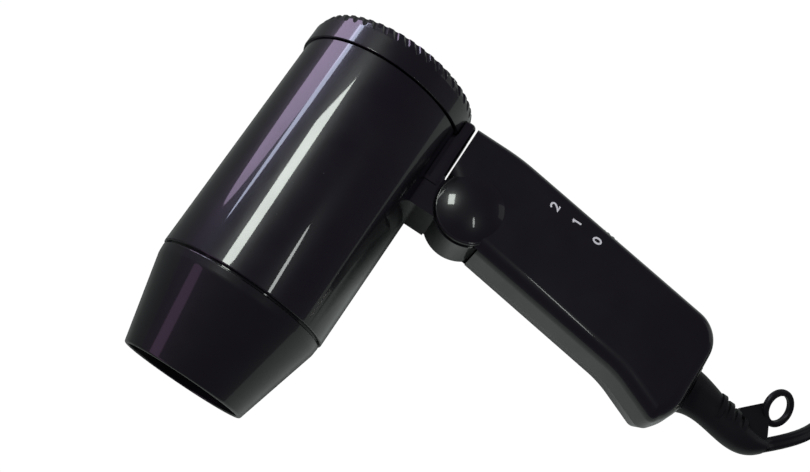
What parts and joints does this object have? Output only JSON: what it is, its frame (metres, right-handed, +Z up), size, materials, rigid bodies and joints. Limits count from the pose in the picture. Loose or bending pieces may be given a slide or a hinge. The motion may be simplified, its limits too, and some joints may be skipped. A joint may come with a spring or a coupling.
{
  "type": "folding hair dryer",
  "caption": "travel hair dryer with a round black barrel, tapered outlet nozzle and knurled intake cover, hinged to a folding handle with a slide switch, hang loop and mains cord",
  "frame": {"origin": "on the surface the dryer lies on, under the middle of the dryer without its cord", "axes": "+X from the barrel towards the handle's cord end, +Y towards the air intake, the nozzle pointing to -Y, +Z up as the dryer lies on its right side"},
  "size_m": [0.3383, 0.1872, 0.072],
  "materials": {
    "barrel_plastic": "high-gloss black moulding",
    "nozzle_plastic": "gloss black moulding",
    "handle_plastic": "satin-gloss black moulding",
    "knurl_plastic": "gloss black moulding with a knurled rim",
    "slider_plastic": "black moulding",
    "inner_plastic": "black heat-resistant moulding",
    "switch_plastic": "black moulding",
    "soft_pvc": "soft black PVC",
    "cord_pvc": "black PVC cord",
    "mica": "mica sheet",
    "steel": "zinc-plated steel",
    "wire_steel": "steel wire",
    "element_wire": "resistance wire",
    "magnet": "ferrite",
    "armature_metal": "laminations and copper",
    "board": "circuit board",
    "brass": "nickel-plated brass",
    "tie_plastic": "black strap",
    "filter_mesh": "fine mesh"
  },
  "bodies": {
    "handle": {"handle_shell_left": "handle_plastic", "handle_shell_right": "handle_plastic", "handle_screws": "steel", "hinge_pin": "steel", "hinge_washers": "steel", "switch_body": "switch_plastic", "switch_terminals": "brass", "cord_clamp": "switch_plastic", "clamp_screws": "steel", "handle_wires": "cord_pvc", "strain_relief": "soft_pvc", "power_cord": "cord_pvc", "cord_coil": "cord_pvc", "cord_tie": "tie_plastic", "plug_body": "soft_pvc", "plug_pins": "brass"},
    "barrel": {"barrel_shell_left": "barrel_plastic", "barrel_shell_right": "barrel_plastic", "barrel_screws": "steel", "outlet_nozzle": "nozzle_plastic", "outlet_guard": "wire_steel", "fan_duct": "inner_plastic", "motor_can": "steel", "motor_end_cap": "inner_plastic", "motor_magnets": "magnet", "rectifier_board": "board", "heater_sleeve": "mica", "heater_boards": "mica", "heating_element": "element_wire", "thermostat": "steel", "thermal_fuse": "steel"},
    "cover": {"intake_cover": "knurl_plastic", "intake_filter": "filter_mesh"},
    "rotor": {"fan": "inner_plastic", "motor_shaft": "steel", "motor_armature": "armature_metal"},
    "slider": {"switch_slider": "slider_plastic"}
  },
  "joints": [
    {"name": "fold", "type": "hinge", "parent": "handle", "child": "barrel", "pos_m": [-0.02937, 0.0377, 0.036], "axis": [0, 0, 1], "range_deg": [0, 81]},
    {"name": "cover_turn", "type": "hinge", "parent": "barrel", "child": "cover", "pos_m": [-0.08238, 0.0652, 0.036], "axis": [0, 1, 0], "range_deg": [0, 20]},
    {"name": "fan_spin", "type": "hinge", "parent": "barrel", "child": "rotor", "pos_m": [-0.08238, 0.0482, 0.036], "axis": [0, 1, 0], "continuous": true},
    {"name": "switch_slide", "type": "slide", "parent": "handle", "child": "slider", "axis": [-0.9895, 0.1444, 0], "range_m": [0, 0.02]}
  ]
}
